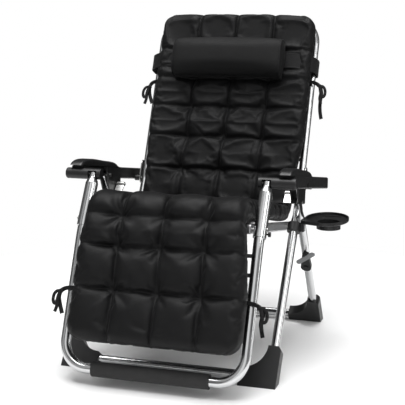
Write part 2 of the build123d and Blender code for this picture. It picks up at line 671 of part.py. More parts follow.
for name, (plane, places) in TIES.items():
    points = [tuple(plane.from_local_coords(Vector(*place))) for place in places]
    radii = route(points)
    with BuildPart() as tie:
        with BuildLine() as path:
            FilletPolyline(*points, radius=radii)
        with BuildSketch(section_at(path.line, 0)):
            Circle(TIE_R)
        sweep()
    length = sum(edge.length for edge in path.line.edges())
    print(name, "length", round(length), "radii", [round(radius) for radius in radii],
          "volume ratio", round(tie.part.volume / (pi * TIE_R ** 2 * length), 3))
    save(tie, name)
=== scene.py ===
"""Looks of the zero gravity recliner: tufted pads, pillow, straps, ties, materials, light and camera.

Metres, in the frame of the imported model. The cloth pieces lie on planes that come from the model's joints.
"""

import json
from math import cos, exp, pi, radians, sin, sqrt, tau

import bmesh
import bpy
import numpy as np
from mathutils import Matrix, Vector


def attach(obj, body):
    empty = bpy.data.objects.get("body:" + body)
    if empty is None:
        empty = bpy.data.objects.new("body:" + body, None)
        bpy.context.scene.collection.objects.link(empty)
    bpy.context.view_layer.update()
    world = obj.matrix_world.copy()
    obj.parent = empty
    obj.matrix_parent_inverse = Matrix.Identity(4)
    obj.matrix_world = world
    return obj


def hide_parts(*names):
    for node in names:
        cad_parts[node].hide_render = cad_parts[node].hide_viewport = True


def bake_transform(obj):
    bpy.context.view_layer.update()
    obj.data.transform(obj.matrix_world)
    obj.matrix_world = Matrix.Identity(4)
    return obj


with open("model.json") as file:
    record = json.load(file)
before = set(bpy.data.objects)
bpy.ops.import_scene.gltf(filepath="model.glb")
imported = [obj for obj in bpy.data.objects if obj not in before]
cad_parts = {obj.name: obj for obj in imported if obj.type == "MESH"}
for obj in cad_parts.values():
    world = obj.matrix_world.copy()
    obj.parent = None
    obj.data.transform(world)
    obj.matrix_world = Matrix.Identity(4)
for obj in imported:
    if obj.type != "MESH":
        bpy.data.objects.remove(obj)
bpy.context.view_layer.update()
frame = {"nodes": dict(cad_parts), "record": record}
nodes = frame["nodes"]
joints = {joint["name"]: joint for joint in frame["record"]["behaviour"]["joints"]}
scene = bpy.context.scene


# ---- the three planes that the pads lie on ------------------------------------------------------
class Plane:
    """Local axes: across (X), up the plane, and out of its front."""

    def __init__(self, origin, up):
        self.origin = Vector(origin)
        self.up = Vector(up).normalized()
        self.out = Vector((1, 0, 0)).cross(self.up)

    def at(self, x, rise, out):
        return self.origin + Vector((x, 0, 0)) + self.up * rise + self.out * out


# lean from the vertical, back at the top, of the leg rest tube above its bend and of the plane below it
LINK_ANGLE, REST_ANGLE = radians(31), radians(23.4)
BEND_BELOW = 0.044                  # bend of the leg rest tube below its seat bolt
seat_front = Vector((0, *joints["leg_rest_hinge"]["pos_m"][1:]))
seat_rear = Vector((0, *joints["seat_hinge"]["pos_m"][1:]))
BACK = Plane((0, *joints["recline"]["pos_m"][1:]), joints["pillow_slide"]["axis"])
REST = Plane(seat_front - BEND_BELOW * Vector((0, sin(LINK_ANGLE), cos(LINK_ANGLE))),
             (0, sin(REST_ANGLE), cos(REST_ANGLE)))
SEAT = Plane(seat_front, seat_rear - seat_front)

# ---- camera -------------------------------------------------------------------------------------
AZIMUTH, ELEVATION, DISTANCE = radians(17.6), radians(10.7), 3.416
look_at = Vector((0, 0, 0.477))
toward = Vector((sin(AZIMUTH) * cos(ELEVATION), -cos(AZIMUTH) * cos(ELEVATION), sin(ELEVATION)))
camera = bpy.data.objects.new("camera", bpy.data.cameras.new("camera"))
scene.collection.objects.link(camera)
camera.data.sensor_width = 36
camera.data.lens = 90.7
camera.location = look_at + toward * DISTANCE
camera.rotation_euler = (-toward).to_track_quat("-Z", "Y").to_euler()
scene.camera = camera


# ---- materials ----------------------------------------------------------------------------------
class Paint:
    """A procedural material, with short calls for its nodes."""

    def __init__(self, name, color, roughness, metallic=0.0, **sockets):
        self.material = bpy.data.materials.new(name)
        self.material.use_nodes = True
        self.tree = self.material.node_tree
        self.shader = self.tree.nodes["Principled BSDF"]
        self.color = color
        self.set(Roughness=roughness, Metallic=metallic, **sockets)
        self.shader.inputs["Base Color"].default_value = (*color, 1)
        self.coords = self.add("TexCoord").outputs["Object"]
        self.height = None

    def set(self, **sockets):
        for name, value in sockets.items():
            self.shader.inputs[name.replace("_", " ")].default_value = value

    def add(self, kind, **settings):
        node = self.tree.nodes.new(f"ShaderNode{kind}")
        for key, value in settings.items():
            setattr(node, key, value)
        return node

    def link(self, output, target):
        self.tree.links.new(output, target)

    def noise(self, scale, detail, stretch=None):
        texture = self.add("TexNoise")
        texture.inputs["Scale"].default_value = scale
        texture.inputs["Detail"].default_value = detail
        source = self.coords
        if stretch:
            mapping = self.add("Mapping")
            mapping.inputs["Scale"].default_value = stretch
            self.link(source, mapping.inputs["Vector"])
            source = mapping.outputs["Vector"]
        self.link(source, texture.inputs["Vector"])
        return texture.outputs["Fac"]

    def wave(self, pitch, direction, coords):
        """Bands that repeat after this distance."""
        texture = self.add("TexWave", wave_type="BANDS", bands_direction=direction)
        texture.inputs["Scale"].default_value = pi / 10 / pitch
        self.link(coords, texture.inputs["Vector"])
        return texture.outputs["Fac"]

    def math(self, operation, *values):
        node = self.add("Math", operation=operation)
        for socket, value in zip(node.inputs, values):
            if isinstance(value, (int, float)):
                socket.default_value = value
            else:
                self.link(value, socket)
        return node.outputs[0]

    def spread(self, factor, low, high):
        """The factor's 0..1 mapped to low..high."""
        node = self.add("MapRange")
        node.inputs["To Min"].default_value = low
        node.inputs["To Max"].default_value = high
        self.link(factor, node.inputs["Value"])
        return node.outputs["Result"]

    def tint(self, factor, other):
        """Mixes the other colour in where the factor is high."""
        node = self.add("Mix", data_type="RGBA")
        node.inputs[6].default_value = (*self.color, 1)
        node.inputs[7].default_value = (*other, 1)
        self.link(factor, node.inputs["Factor"])
        self.link(node.outputs[2], self.shader.inputs["Base Color"])

    def rough(self, factor, low, high):
        self.link(self.spread(factor, low, high), self.shader.inputs["Roughness"])

    def bump(self, height, distance, strength=1.0):
        node = self.add("Bump")
        node.inputs["Distance"].default_value = distance
        node.inputs["Strength"].default_value = strength
        self.link(height, node.inputs["Height"])
        if self.height:
            self.link(self.height, node.inputs["Normal"])
        self.height = node.outputs["Normal"]
        self.link(self.height, self.shader.inputs["Normal"])


def woven(name, color, light, thread, roughness, sheen=0.03, depth=0.00025, seams=None):
    """Plain weave on the piece's cloth map, whose units are metres."""
    paint = Paint(name, color, roughness, Sheen_Weight=sheen, Sheen_Roughness=0.4, Specular_IOR_Level=0.16)
    cloth = paint.add("UVMap", uv_map="cloth").outputs["UV"]
    weave = paint.math("MULTIPLY", paint.wave(thread, "X", cloth), paint.wave(thread, "Y", cloth))
    patches = paint.noise(7, 4)
    paint.tint(paint.math("MULTIPLY", paint.math("ADD", weave, patches), 0.5), light)
    paint.rough(paint.noise(40, 3), roughness - 0.1, roughness + 0.08)
    paint.bump(weave, depth, 0.5)
    paint.bump(paint.noise(55, 5), 0.0012, 0.35)
    if seams:
        paint.bump(stitches(paint, cloth, seams), 0.0007, 0.8)
    return paint.material


STITCH_THREAD, STITCH_PITCH = 0.0011, 0.0045
HALF_ROW = 100.5                    # puts a row in the middle of its repeat, and keeps places positive


def stitches(paint, cloth, spacing):
    """Rows of stitches that run lengthwise, this far apart, the middle one on the cloth's centre line."""
    split = paint.add("SeparateXYZ")
    paint.link(cloth, split.inputs[0])
    places = paint.math("ADD", paint.math("DIVIDE", split.outputs["X"], spacing), HALF_ROW)
    aside = paint.math("ABSOLUTE", paint.math("SUBTRACT", paint.math("FRACT", places), 0.5))
    row = paint.math("LESS_THAN", aside, STITCH_THREAD / 2 / spacing)
    along = paint.math("FRACT", paint.math("DIVIDE", split.outputs["Y"], STITCH_PITCH))
    return paint.math("MULTIPLY", row, paint.math("GREATER_THAN", along, 0.3))


def moulded(name, color, light, roughness, grain=900, depth=0.00025):
    """Moulded plastic with a fine leather grain and paler patches."""
    paint = Paint(name, color, roughness, Specular_IOR_Level=0.45)
    pits = paint.add("TexVoronoi", feature="SMOOTH_F1")
    pits.inputs["Scale"].default_value = grain
    paint.link(paint.coords, pits.inputs["Vector"])
    paint.tint(paint.math("MULTIPLY", paint.noise(30, 5), 0.9), light)
    paint.rough(paint.noise(60, 4), roughness - 0.08, roughness + 0.12)
    paint.bump(pits.outputs["Distance"], depth, 0.5)
    return paint.material


def metal(name, color, dark, roughness, brushed=(1, 1, 1)):
    """Bright metal with fine drawn lines and smudges."""
    paint = Paint(name, color, roughness, metallic=1.0)
    paint.tint(paint.spread(paint.noise(14, 5), 0, 0.5), dark)
    paint.rough(paint.noise(9, 4), roughness - 0.05, roughness + 0.09)
    paint.bump(paint.noise(900, 2, stretch=brushed), 0.00003, 0.4)
    return paint.material


COLUMN_GAP = 0.137                  # between the lengthwise seams of the pads
cushion_cloth = woven("cushion_cloth", (0.003, 0.003, 0.0032), (0.008, 0.008, 0.0084), 0.0009, 0.5,
                      seams=COLUMN_GAP)
pillow_cloth = woven("pillow_cloth", (0.004, 0.004, 0.0042), (0.009, 0.009, 0.0092), 0.0012, 0.6)
webbing = woven("webbing", (0.005, 0.005, 0.0052), (0.014, 0.014, 0.0145), 0.0018, 0.6, 0.05, 0.0004)
silver_tube = metal("silver_tube", (0.62, 0.625, 0.63), (0.5, 0.505, 0.51), 0.17, (0.2, 1, 1))
rail_silver = metal("rail_silver", (0.5, 0.5, 0.51), (0.38, 0.38, 0.39), 0.33, (1, 0.15, 1))
zinc = metal("zinc", (0.55, 0.55, 0.54), (0.36, 0.36, 0.36), 0.3)
black_plastic = moulded("black_plastic", (0.005, 0.005, 0.0053), (0.012, 0.012, 0.0125), 0.4)
arm_grip = moulded("arm_grip", (0.006, 0.006, 0.0063), (0.014, 0.014, 0.0145), 0.34, 600, 0.0004)
clip_grey = moulded("clip_grey", (0.2, 0.205, 0.21), (0.27, 0.275, 0.28), 0.5)

foam_paint = Paint("foam", (0.012, 0.012, 0.012), 0.85)
foam_paint.tint(foam_paint.noise(50, 4), (0.025, 0.025, 0.025))
foam_paint.bump(foam_paint.noise(420, 4), 0.0016, 0.8)
foam = foam_paint.material

mesh_paint = Paint("sling_mesh", (0.012, 0.012, 0.013), 0.6)
MESH_PITCH = 0.0024
across, along = (mesh_paint.wave(MESH_PITCH, axis, mesh_paint.coords) for axis in ("X", "Z"))
threads = mesh_paint.math("MULTIPLY", across, along)
mesh_paint.bump(threads, 0.0008, 0.8)
mesh_paint.tint(threads, (0.045, 0.045, 0.047))
sling_mesh = mesh_paint.material

elastic_paint = Paint("elastic", (0.012, 0.012, 0.012), 0.75)
elastic_paint.tint(elastic_paint.noise(600, 2), (0.04, 0.04, 0.04))
elastic_paint.bump(elastic_paint.noise(900, 2), 0.0004, 0.8)
elastic = elastic_paint.material

by_slot = {"tube_silver": silver_tube, "arm_steel": black_plastic, "black_plastic": black_plastic,
           "steel": zinc, "clip_grey": clip_grey, "foam": foam, "sling_mesh": sling_mesh, "elastic": elastic,
           "cushion_cloth": cushion_cloth}
by_node = {"seat_rail_left": rail_silver, "seat_rail_right": rail_silver, "arm_pad_left": arm_grip,
           "arm_pad_right": arm_grip}
for part in frame["record"]["subparts"]:
    name = part["node"]
    mesh = nodes[name].data
    mesh.materials.clear()
    mesh.materials.append(by_node.get(name, by_slot[part["material_slot"]]))


# ---- making pieces ------------------------------------------------------------------------------
def piece(name, data, material):
    """A cloth piece in the scene, which rides on nothing yet."""
    obj = bpy.data.objects.new(name, data)
    scene.collection.objects.link(obj)
    data.materials.append(material)
    return obj


def on_body(obj, body, *replaced):
    """The piece rides on the body, and stands for these nodes."""
    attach(obj, body)
    if replaced:
        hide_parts(*replaced)
    return obj


def join_rings(mesh, rings):
    """Faces between each closed ring of vertices and the next."""
    for lower, upper in zip(rings, rings[1:]):
        count = len(lower)
        for k in range(count):
            mesh.faces.new((lower[k], lower[(k + 1) % count], upper[(k + 1) % count], upper[k]))


def close_ends(mesh, rings):
    mesh.faces.new(rings[0])
    mesh.faces.new(rings[-1][::-1])


def finished(mesh, name, cloth_place, smooth=True):
    """The mesh with its cloth map, in metres, given by a function of the vertex."""
    bmesh.ops.recalc_face_normals(mesh, faces=mesh.faces)
    cloth = mesh.loops.layers.uv.new("cloth")
    for face in mesh.faces:
        face.smooth = smooth
        for loop in face.loops:
            loop[cloth].uv = cloth_place(loop.vert)
    result = bpy.data.meshes.new(name)
    mesh.to_mesh(result)
    mesh.free()
    return result


def baked(obj):
    """The object's mesh with its modifiers applied; the modifiers are then removed."""
    evaluated = obj.evaluated_get(bpy.context.evaluated_depsgraph_get())
    mesh = bpy.data.meshes.new_from_object(evaluated)
    obj.modifiers.clear()
    old, obj.data = obj.data, mesh
    bpy.data.meshes.remove(old)
    return obj


def subdivided(obj):
    modifier = obj.modifiers.new("subdivision", "SUBSURF")
    modifier.levels = modifier.render_levels = 1
    return baked(obj)


def smooth_route(corners, rounds=4):
    """Corner cutting, which rounds a polyline off and keeps its ends."""
    points = [Vector(corner) for corner in corners]
    for _ in range(rounds):
        cut = [points[0]]
        for first, second in zip(points, points[1:]):
            cut += [first.lerp(second, 0.25), first.lerp(second, 0.75)]
        points = cut + [points[-1]]
    return points


class Route:
    """A smooth line that gives its place and direction at a distance from its start."""

    def __init__(self, corners):
        self.points = np.array(smooth_route(corners))
        steps = np.linalg.norm(np.diff(self.points, axis=0), axis=1)
        self.reach = np.concatenate(([0], np.cumsum(steps)))
        self.length = self.reach[-1]

    def at(self, distance):
        return Vector([np.interp(distance, self.reach, self.points[:, axis]) for axis in range(3)])

    def out(self, distance):
        """Square to the line, in the plane of the side view, on its front or upper side."""
        along = self.at(distance + 0.004) - self.at(distance - 0.004)
        return Vector((1, 0, 0)).cross(along).normalized()

    def nearest(self, point):
        gaps = np.linalg.norm(self.points - np.array(point), axis=1)
        return float(self.reach[gaps.argmin()])


# ---- ties: ribbons that hold the pads to the tubes ----------------------------------------------
TIE_WIDTH, TIE_THICK = 0.013, 0.0016
ROUNDED_SHARE = 0.93                # about a tie's length over that of its route with sharp corners
TIES = {                            # (across, up the plane, in front of it)
    "tie_leg_right": ("leg_rest", REST, (
        (0.262, -0.180, 0.027), (0.304, -0.180, 0.027), (0.330, -0.205, 0.020), (0.320, -0.238, 0.022),
        (0.332, -0.276, 0.020))),
    "tie_leg_left": ("leg_rest", REST, (
        (-0.262, -0.180, 0.027), (-0.304, -0.180, 0.027), (-0.322, -0.205, 0.020), (-0.312, -0.236, 0.020),
        (-0.300, -0.261, 0.022))),
    "tie_back_right": ("back", BACK, (
        (0.273, 0.372, 0.026), (0.309, 0.372, 0.026), (0.332, 0.345, 0.015), (0.325, 0.281, 0.015),
        (0.337, 0.240, 0.015))),
    "tie_back_left": ("back", BACK, (
        (-0.273, 0.362, 0.026), (-0.306, 0.362, 0.026), (-0.315, 0.319, 0.015), (-0.293, 0.278, 0.020))),
}


def ribbon(name, body, plane, places):
    """A tie's tape: a flat curve that follows the given places."""
    points = [plane.at(*place) for place in places]
    curve = bpy.data.curves.new(name, "CURVE")
    curve.dimensions = "3D"
    spline = curve.splines.new("NURBS")
    spline.points.add(len(points) - 1)
    for control, point in zip(spline.points, points):
        control.co = (*point, 1)
    spline.order_u = 3
    spline.use_endpoint_u = True
    curve.resolution_u = 8
    curve.extrude = (TIE_WIDTH - TIE_THICK) / 2
    curve.bevel_depth = TIE_THICK / 2
    curve.bevel_resolution = 2
    tie = on_body(piece(name + "_ribbon", curve, webbing), body, name)
    length = sum((second - first).length for first, second in zip(points, points[1:])) * ROUNDED_SHARE
    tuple(points[0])


# section of a band, in shares of its width and thickness
BAND_SECTION = ((-0.5, -0.4), (-0.5, 0.4), (-0.2, 0.5), (0.2, 0.5), (0.5, 0.4), (0.5, -0.4))


def flat_band(name, body, plane, corners, width, thick):
    """Woven band along corners given as (across, up the plane, in front of it), facing forwards."""
    line = smooth_route([plane.at(*corner) for corner in corners], 3)
    mesh = bmesh.new()
    flat, rings, reach = {}, [], 0
    for i, point in enumerate(line):
        before, after = line[max(i - 1, 0)], line[min(i + 1, len(line) - 1)]
        reach += (point - before).length
        along = (after - before).normalized()
        wide = along.cross(plane.out).normalized()
        deep = wide.cross(along)
        ring = []
        for across, out in BAND_SECTION:
            vertex = mesh.verts.new(point + wide * across * width + deep * out * thick)
            flat[vertex] = (across * width, reach)
            ring.append(vertex)
        rings.append(ring)
    join_rings(mesh, rings)
    close_ends(mesh, rings)
    on_body(piece(name, finished(mesh, name, flat.get), webbing), body)


# what each tie has besides its ribbon: route from the knot, outwards on its own side, width and thickness
TIE_BANDS = {
    "knot": (((-0.006, 0.003, 0.001), (0.001, 0, 0.0035), (0.008, -0.004, 0.001)), 0.012, 0.006),
    "bow": (((0.001, -0.001, 0.002), (0.014, -0.001, 0.003), (0.023, -0.016, 0.002), (0.022, -0.036, 0.001),
             (0.013, -0.043, 0.002), (0.007, -0.027, 0.004), (0.002, -0.004, 0.004)), 0.010, TIE_THICK),
    "tail": (((0.002, -0.001, 0.001), (0.009, -0.022, 0.002), (0.005, -0.045, 0.003), (0.011, -0.066, 0.002)),
             0.011, TIE_THICK),
}
for name, (body, plane, places) in TIES.items():
    ribbon(name, body, plane, places)
    side = 1 if places[0][0] > 0 else -1
    knot = [(first + second) / 2 for first, second in zip(places[1], places[2])]
    for part, (corners, width, thick) in TIE_BANDS.items():
        flat_band(name + "_" + part, body, plane, [(knot[0] + side * across, knot[1] + rise, knot[2] + out)
                                                   for across, rise, out in corners], width, thick)

# ---- tufted pads --------------------------------------------------------------------------------
MID = 0.045                         # middle of the padding in front of its plane
pad_line = Route([REST.at(0, rise, MID) for rise in (-0.340, -0.2, -0.1, 0, 0.04)]
                 + [REST.at(0, 0.09, 0.036), SEAT.at(0, 0.035, 0.046)]
                 + [SEAT.at(0, rise, MID) for rise in (0.1, 0.2, 0.3, 0.38)]
                 + [SEAT.at(0, 0.465, 0.042), BACK.at(0, -0.055, 0.042)]
                 + [BACK.at(0, rise, MID) for rise in (0.04, 0.2, 0.4, 0.5, 0.612)])
COLUMNS = (-COLUMN_GAP, 0.0, COLUMN_GAP)
FRONT, REAR = 0.037, 0.023          # how far a cell swells to each side
LEAST_HALF = 0.003                  # half thickness that the pad has even where nothing swells
SIDE_ROUND = 0.04                   # from the pad's rim to where it is as thick as it gets
GRID_STEP, GRID_ACROSS = 0.006, 95  # length of a mesh face along the pad, and vertices across it
# shares of the swell that a seam takes away, that it takes away besides at a tuft, and that a tuft does
SEAM_DEPTH, SEAM_BY_TUFT, TUFT_DEPTH = 0.5, 0.3, 0.8
# over what distance a row seam fades away above and below it, and a column seam to both sides
ROW_ABOVE, ROW_BELOW, COLUMN_SLOPE = 0.006, 0.017, 0.01
SIDE_SHARE, SIDE_FADE = 0.35, 0.10  # share of a row seam left at the pad's sides, and how far in it is full
STITCHED = 0.005                    # about half the width of the strip that a seam holds
NIPPED, NIP_LENGTH = 0.003, 0.012   # how far, and over what length, a row seam draws the sides in
ROW_STRAY, COLUMN_STRAY = 0.003, 0.004  # how far a tuft may lie from its place in the grid
TUFT_REACH = 0.11                   # further away than this a tuft changes nothing
PULL_WIDTH, PULL_POWER = 0.026, 1.2
FOLD_RADIUS, FOLD_HEIGHT = 0.022, 0.0026    # where a tuft's folds are highest, and their scale
REAR_FOLDS = 0.4                    # height of the folds behind, as a share of those in front
rest_rows = [pad_line.nearest(REST.at(0, rise, MID)) for rise in (-0.180, -0.045, 0.050)]
back_rows = [pad_line.nearest(BACK.at(0, rise, MID)) for rise in (0.031, 0.142, 0.256, 0.366, 0.472)]
seat_rows = list(np.linspace(rest_rows[-1], back_rows[0], 6)[1:-1])
split = float(seat_rows[1])         # where the two pads meet, in a seam under the sitter
rows = np.array(rest_rows + seat_rows + back_rows)
# (distance along the pad line, half width)
half_widths = ((0, 0.273), (rest_rows[0], 0.273), (rest_rows[1], 0.266), (rest_rows[-1], 0.253),
               (seat_rows[0], 0.25), (seat_rows[1], 0.26), (seat_rows[-1], 0.268), (back_rows[0], 0.272),
               (back_rows[1], 0.283), (pad_line.length, 0.283))
# (distance, shift in X): the padding lies a little to one side, except between the armrests
shifts = ((0, 0.009), (rest_rows[0], 0.009), (rest_rows[1], 0.002), (rest_rows[-1], 0),
          (back_rows[0], 0.003), (back_rows[1], 0.009), (pad_line.length, 0.009))


def crease(gap, above, below):
    """1 in a seam, fading away from it over one distance above it and another below it."""
    return exp(-abs(gap) / (above if gap > 0 else below))


class Tuft:
    """A point where the cover is pulled in, with folds that run out from it."""

    def __init__(self, s, x, chance):
        self.s = s + chance.uniform(-ROW_STRAY, ROW_STRAY)
        self.x = x + chance.uniform(-COLUMN_STRAY, COLUMN_STRAY)
        self.folds = [(int(chance.integers(3, 8)), chance.uniform(0, tau), chance.uniform(0.4, 1))
                      for _ in range(3)]

    def pull(self, s, x):
        """How deep the cover is drawn in, 0 to 1, and the height of the folds here."""
        along, across = s - self.s, x - self.x
        gap = sqrt(along ** 2 + across ** 2)
        if gap > TUFT_REACH:
            return 0, 0
        turn = np.arctan2(along, across)
        wave = sum(size * sin(count * turn + phase) for count, phase, size in self.folds)
        ring = (gap / FOLD_RADIUS) * exp(1 - gap / FOLD_RADIUS)
        return exp(-(gap / PULL_WIDTH) ** PULL_POWER), FOLD_HEIGHT * ring * wave


def rounded_half(s, ends, corners, row_gap):
    """Half width of the pad at s, drawn in at the seams and by its rounded corners."""
    half = np.interp(s, *zip(*half_widths)) - NIPPED * exp(-(row_gap / NIP_LENGTH) ** 2)
    for distance, corner in zip(ends, corners):
        if distance < corner:
            half -= corner - sqrt(max(corner ** 2 - (corner - distance) ** 2, 0))
    return half


def cover_shape(s, x, half, ends, row_gap, near):
    """At a point of the pad: share of the full swell, rounding at the rim, height of the folds, and how
    firmly the simulation holds the point.
    """
    column_gap = x - min(COLUMNS, key=lambda place: abs(place - x))
    pull, fold = 0, 0
    for tuft in near:
        drawn, ripple = tuft.pull(s, x)
        pull, fold = max(pull, drawn), fold + ripple
    inside = max(half - abs(x), 0)
    rim = min(inside, *ends)
    edge = sqrt(max(1 - (1 - min(max(rim, 0) / SIDE_ROUND, 1)) ** 2, 0))
    fade = SIDE_SHARE + (1 - SIDE_SHARE) * min(inside / SIDE_FADE, 1)
    depth = SEAM_DEPTH + SEAM_BY_TUFT * pull
    seam = depth * max(fade * crease(row_gap, ROW_ABOVE, ROW_BELOW),
                       crease(column_gap, COLUMN_SLOPE, COLUMN_SLOPE))
    in_seam = max(fade * exp(-(row_gap / STITCHED) ** 2), exp(-(column_gap / STITCHED) ** 2))
    grip = max(exp(-(1 - pull) / 0.2), 0.6 * in_seam, 0.25 * pull, 0.5 if rim < 0.004 else 0.02)
    return (1 - seam) * (1 - TUFT_DEPTH * pull), edge, fold, grip


def tufted(name, start, end, corners, folds, seed):
    """Closed pad from start to end of the pad line: quilted cells that swell, and pulled-in tufts."""
    chance = np.random.default_rng(seed)
    tufts = [Tuft(row, column, chance) for row in rows for column in COLUMNS if row not in (start, end)]
    widthwise = np.linspace(-1, 1, GRID_ACROSS)     # then set closer together towards the sides
    widthwise = np.sign(widthwise) * (1 - (1 - np.abs(widthwise)) ** 1.2)
    mesh = bmesh.new()
    flat, grips = {}, []
    sides = {1: [], -1: []}
    for s in np.linspace(start, end, int((end - start) / GRID_STEP) + 1):
        row_gap = s - rows[int(np.abs(rows - s).argmin())]
        ends = (s - start, end - s)
        shift = np.interp(s, *zip(*shifts))
        half = rounded_half(s, ends, corners, row_gap)
        middle, out = pad_line.at(s), pad_line.out(s)
        near = [tuft for tuft in tufts if abs(tuft.s - s) < TUFT_REACH]
        for side, full, fold_share in ((1, FRONT, folds), (-1, REAR, REAR_FOLDS * folds)):
            line = []
            for v in widthwise:
                if side < 0 and (abs(v) == 1 or s in (start, end)):
                    line.append(sides[1][len(sides[-1])][len(line)])    # the rim is shared
                    continue
                x = v * half
                swell, edge, fold, grip = cover_shape(s, x, half, ends, row_gap, near)
                lift = side * edge * (full * swell + LEAST_HALF + fold * fold_share)
                vertex = mesh.verts.new(middle + Vector((x + shift, 0, 0)) + out * lift)
                flat[vertex] = (x, s)
                grips.append(grip)
                line.append(vertex)
            sides[side].append(line)
    for side, lines in sides.items():
        for lower, upper in zip(lines, lines[1:]):
            for i in range(len(lower) - 1):
                quad = list(dict.fromkeys((lower[i], lower[i + 1], upper[i + 1], upper[i])))
                if len(quad) > 2:
                    mesh.faces.new(quad[::side])                # the rear side faces the other way
    pad = piece(name, finished(mesh, name, flat.get), cushion_cloth)
    group = pad.vertex_groups.new(name="grip")
    for index, weight in enumerate(grips):
        group.add([index], float(min(weight, 1)), "REPLACE")
    return pad


def swollen(obj, pressure, looser, cap, frames=20):
    """Cloth simulation: the filling pushes the cover out between the gripped seams, up to about the cap."""
    before = np.array([vertex.co for vertex in obj.data.vertices])
    modifier = obj.modifiers.new("cloth", "CLOTH")
    cloth = modifier.settings
    cloth.quality = 6
    cloth.mass = 0.25
    cloth.tension_stiffness = cloth.compression_stiffness = 18
    cloth.shear_stiffness = 8
    cloth.bending_stiffness = 0.4
    cloth.use_pressure = True
    cloth.uniform_pressure_force = pressure
    cloth.effector_weights.gravity = 0
    cloth.shrink_min = -looser
    if "grip" in obj.vertex_groups:
        cloth.vertex_group_mass = "grip"
    modifier.point_cache.frame_start, modifier.point_cache.frame_end = 1, frames
    for number in range(1, frames + 1):
        scene.frame_set(number)
    evaluated = obj.evaluated_get(bpy.context.evaluated_depsgraph_get())
    after = np.array([vertex.co for vertex in evaluated.data.vertices])
    obj.modifiers.clear()
    scene.frame_set(1)
    moves = after - before
    sizes = np.linalg.norm(moves, axis=1, keepdims=True)
    moves *= np.tanh(sizes / cap) * cap / np.maximum(sizes, 1e-9)
    obj.data.vertices.foreach_set("co", (before + moves).ravel())
    obj.data.update()
    return obj


PRESSURE, SLACK, SWELL_CAP = 4, 0.06, 0.010
FOOT_CORNER, SEAM_CORNER, HEAD_CORNER = 0.055, 0.012, 0.06
# name, stretch of the pad line, radii of the corners, scale of the folds, seed, the two bodies, where the
# bend between them starts and ends, and the nodes that the pad stands for
PADS = (
    ("leg_pad_cover", (0, split), (FOOT_CORNER, SEAM_CORNER), 1.0, 3, ("leg_rest", "seat"),
     (REST.at(0, 0.06, 0.05), SEAT.at(0, 0.13, 0.05)), ("leg_cushion",)),
    ("back_pad_cover", (split, pad_line.length), (SEAM_CORNER, HEAD_CORNER), 0.3, 5, ("seat", "back"),
     (SEAT.at(0, 0.36, 0.03), BACK.at(0, 0.05, 0.03)), ("back_cushion", "seat_cushion")),
)
for name, span, corners, folds, seed, bodies, bend, replaced in PADS:
    pad = subdivided(swollen(tufted(name, *span, corners, folds, seed), PRESSURE, SLACK, SWELL_CAP))
    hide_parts(*replaced)
    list(bodies)
    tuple(bend[0])
    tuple(bend[1])
    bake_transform(pad)

# ---- pillow and its strap -----------------------------------------------------------------------
pillow_half, pillow_low, pillow_high = 0.2, 0.357, 0.504
pillow_mid = (pillow_low + pillow_high) / 2
PILLOW_BACK, PILLOW_DEEP = 0.083, 0.062
PILLOW_RINGS, PILLOW_AROUND = 65, 72


def pillow_section(turn, x):
    """Half-round outline that is flat behind, as (rise, out)."""
    tall = (pillow_high - pillow_low) / 2 - 0.003
    rise = tall * np.sign(cos(turn)) * abs(cos(turn)) ** 0.55
    out = sin(turn)
    out = PILLOW_DEEP * abs(out) ** 0.62 if out > 0 else -0.004 * abs(out) ** 0.5
    droop = 0.004 * (x / pillow_half) ** 2
    return pillow_mid + rise - droop, PILLOW_BACK + out


def pillow():
    mesh = bmesh.new()
    rings = []
    for share in np.linspace(-1, 1, PILLOW_RINGS):
        x = pillow_half * 0.985 * share
        inset = 1 - 0.10 * exp(-(pillow_half - abs(x)) / 0.012)
        ring = []
        for k in range(PILLOW_AROUND):
            rise, out = pillow_section(tau * k / PILLOW_AROUND, x)
            rise = pillow_mid + (rise - pillow_mid) * inset
            out = PILLOW_BACK + (out - PILLOW_BACK) * inset
            ring.append(mesh.verts.new(BACK.at(x, rise, out)))
        rings.append(ring)
    join_rings(mesh, rings)
    for ring, bulge in ((rings[0], -0.003), (rings[-1], 0.003)):
        for share in (0.75, 0.45, 0.4):
            centre = sum((vertex.co for vertex in ring), Vector()) / PILLOW_AROUND
            inner = [mesh.verts.new(centre.lerp(vertex.co, share) + Vector((bulge, 0, 0))) for vertex in ring]
            join_rings(mesh, (ring, inner))
            ring = inner
        mesh.faces.new(ring)

    def cloth_place(vertex):
        local = vertex.co - BACK.origin
        return local.x, local.dot(BACK.up) + 0.7 * local.dot(BACK.out)

    return piece("pillow_cover", finished(mesh, "pillow_cover", cloth_place), pillow_cloth)


cover = subdivided(swollen(pillow(), pressure=2.5, looser=0.0, cap=0.004, frames=12))
on_body(cover, "headrest", "head_pillow")


def bead_mesh(name, points, radius, sides=8):
    """Round bead along a closed line of points."""
    mesh = bmesh.new()
    rings = []
    for before, point, after in zip(points[-1:] + points, points, points[1:] + points[:1]):
        along = (after - before).normalized()
        first = along.cross(Vector((1, 0, 0)) if abs(along.x) < 0.9 else Vector((0, 0, 1))).normalized()
        second = along.cross(first)
        turns = [tau * k / sides for k in range(sides)]
        rings.append([mesh.verts.new(point + radius * (first * cos(turn) + second * sin(turn)))
                      for turn in turns])
    join_rings(mesh, rings + rings[:1])
    return finished(mesh, name, lambda vertex: (vertex.co.x, vertex.co.z))


